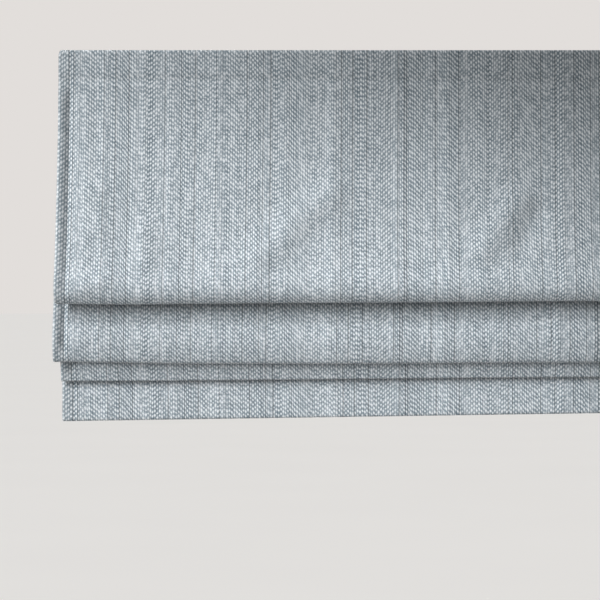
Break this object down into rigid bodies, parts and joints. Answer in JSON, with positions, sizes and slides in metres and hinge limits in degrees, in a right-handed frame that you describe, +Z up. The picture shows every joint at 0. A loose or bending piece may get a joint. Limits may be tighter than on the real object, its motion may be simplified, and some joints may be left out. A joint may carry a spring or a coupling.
{
  "type": "roman blind",
  "caption": "Cordless flat-fold roman blind on a steel headrail, lined textured cloth gathered in stacked folds, with a spring motor and ribs.",
  "frame": {"origin": "on the wall face, in the middle of the four bracket screw holes", "axes": "+Z up, +Y into the wall, +X along the rail to the right of someone facing the blind"},
  "size_m": [0.787, 0.0856, 0.422],
  "materials": {
    "face_cloth": "slate blue-grey slub weave",
    "lining": "plain ivory lining",
    "rail_steel": "white powder coat",
    "bracket_steel": "zinc plated",
    "moulding": "white moulded acetal",
    "spring_steel": "bright rolled strip",
    "shaft_steel": "drawn rod",
    "tape": "white hook and loop tape",
    "cord": "braided polyester cord",
    "rib_rod": "pultruded glass fibre rod",
    "clear_plastic": "clear moulded plastic",
    "bar_metal": "mill finish bar"
  },
  "bodies": {
    "rail": {"cord_grommet_left": "moulding", "cord_grommet_right": "moulding", "end_cap_left": "moulding", "end_cap_right": "moulding", "face_cloth_1": "face_cloth", "headrail": "rail_steel", "hook_tape": "tape", "lever_rivet_left": "bracket_steel", "lever_rivet_right": "bracket_steel", "lift_cord_left": "cord", "lift_cord_right": "cord", "lining_1": "lining", "loop_tape": "tape", "motor_cover": "moulding", "motor_frame": "moulding", "motor_spring": "spring_steel", "spool_cradle_left": "moulding", "spool_cradle_right": "moulding", "wall_bracket_left": "bracket_steel", "wall_bracket_right": "bracket_steel"},
    "lift_shaft": {"cord_spool_left": "moulding", "cord_spool_right": "moulding", "cord_winding_left": "cord", "cord_winding_right": "cord", "lift_shaft": "shaft_steel", "motor_output_drum": "moulding"},
    "storage_drum": {"motor_storage_drum": "moulding"},
    "lever_left": {"twist_lever_left": "bracket_steel"},
    "lever_right": {"twist_lever_right": "bracket_steel"},
    "gather_1": {"cord_eye_1_left": "clear_plastic", "cord_eye_1_right": "clear_plastic", "face_cloth_2": "face_cloth", "lining_2": "lining", "rib_1": "rib_rod"},
    "gather_2": {"cord_eye_2_left": "clear_plastic", "cord_eye_2_right": "clear_plastic", "face_cloth_3": "face_cloth", "lining_3": "lining", "rib_2": "rib_rod"},
    "gather_3": {"cord_eye_3_left": "clear_plastic", "cord_eye_3_right": "clear_plastic", "cord_stop_left": "moulding", "cord_stop_right": "moulding", "face_cloth_4": "face_cloth", "hem_bar": "bar_metal", "hem_bar_cap_left": "moulding", "hem_bar_cap_right": "moulding", "lining_4": "lining", "rib_3": "rib_rod"}
  },
  "joints": [
    {"name": "fold_1", "type": "slide", "parent": "rail", "child": "gather_1", "axis": [0, 0, -1], "range_m": [-0.078, 0.322], "deforming": ["face_cloth_1", "lining_1", "lift_cord_left", "lift_cord_right"]},
    {"name": "fold_2", "type": "slide", "parent": "gather_1", "child": "gather_2", "axis": [0, 0, -1], "range_m": [0, 0.434], "deforming": ["face_cloth_2", "lining_2"]},
    {"name": "fold_3", "type": "slide", "parent": "gather_2", "child": "gather_3", "axis": [0, 0, -1], "range_m": [0, 0.448], "deforming": ["face_cloth_3", "lining_3"]},
    {"name": "shaft_turn", "type": "hinge", "parent": "rail", "child": "lift_shaft", "pos_m": [0, -0.0344, -0.0045], "axis": [1, 0, 0], "range_deg": [-2016, 496]},
    {"name": "storage_drum_turn", "type": "hinge", "parent": "rail", "child": "storage_drum", "pos_m": [0, -0.0165, -0.0045], "axis": [1, 0, 0], "range_deg": [-3427, 838]},
    {"name": "twist_left", "type": "hinge", "parent": "rail", "child": "lever_left", "pos_m": [-0.333, -0.0275, 0.015], "axis": [0, 0, 1], "range_deg": [0, 90]},
    {"name": "twist_right", "type": "hinge", "parent": "rail", "child": "lever_right", "pos_m": [0.333, -0.0275, 0.015], "axis": [0, 0, 1], "range_deg": [0, 90]}
  ],
  "couplings": [
    {"joint": "shaft_turn", "follows": "fold_1", "rad_per_m": -108.7},
    {"joint": "storage_drum_turn", "follows": "fold_1", "rad_per_m": -185.19}
  ]
}
